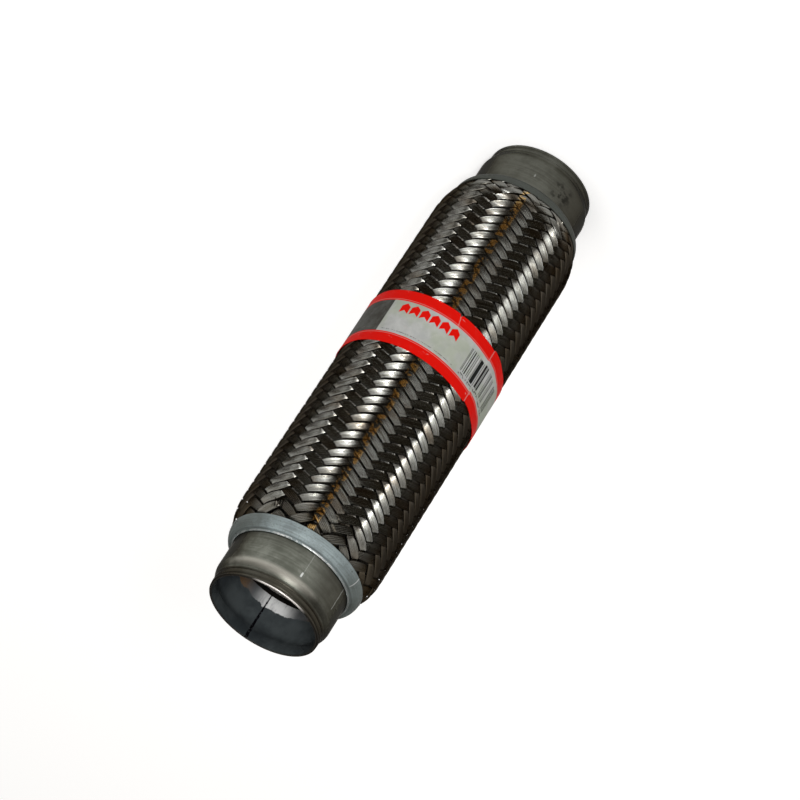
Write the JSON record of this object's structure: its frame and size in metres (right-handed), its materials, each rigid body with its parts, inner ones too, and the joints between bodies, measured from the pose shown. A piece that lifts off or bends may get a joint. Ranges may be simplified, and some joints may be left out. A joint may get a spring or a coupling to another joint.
{
  "type": "exhaust flex pipe",
  "caption": "Round exhaust flex pipe: woven steel braid over a hidden bellows, stamped caps and plain tube ends, paper label round the middle.",
  "frame": {"origin": "centre of the rim of the outlet tube, on which the pipe stands", "axes": "+Z along the pipe's axis, from the outlet to the inlet"},
  "size_m": [0.0742, 0.0742, 0.28],
  "materials": {
    "tube_steel": "dull aluminised steel",
    "cap_steel": "pale zinc, satin",
    "braid_wire": "bright stainless wire",
    "bellows_steel": "smooth stainless sheet",
    "inner_wire": "stainless wire",
    "label_paper": "printed paper, slightly creased"
  },
  "bodies": {
    "root": {"inlet_tube": "tube_steel", "outlet_tube": "tube_steel", "inlet_cap": "cap_steel", "outlet_cap": "cap_steel", "outer_braid": "braid_wire", "bellows": "bellows_steel", "inner_braid": "inner_wire", "label": "label_paper"}
  },
  "joints": []
}
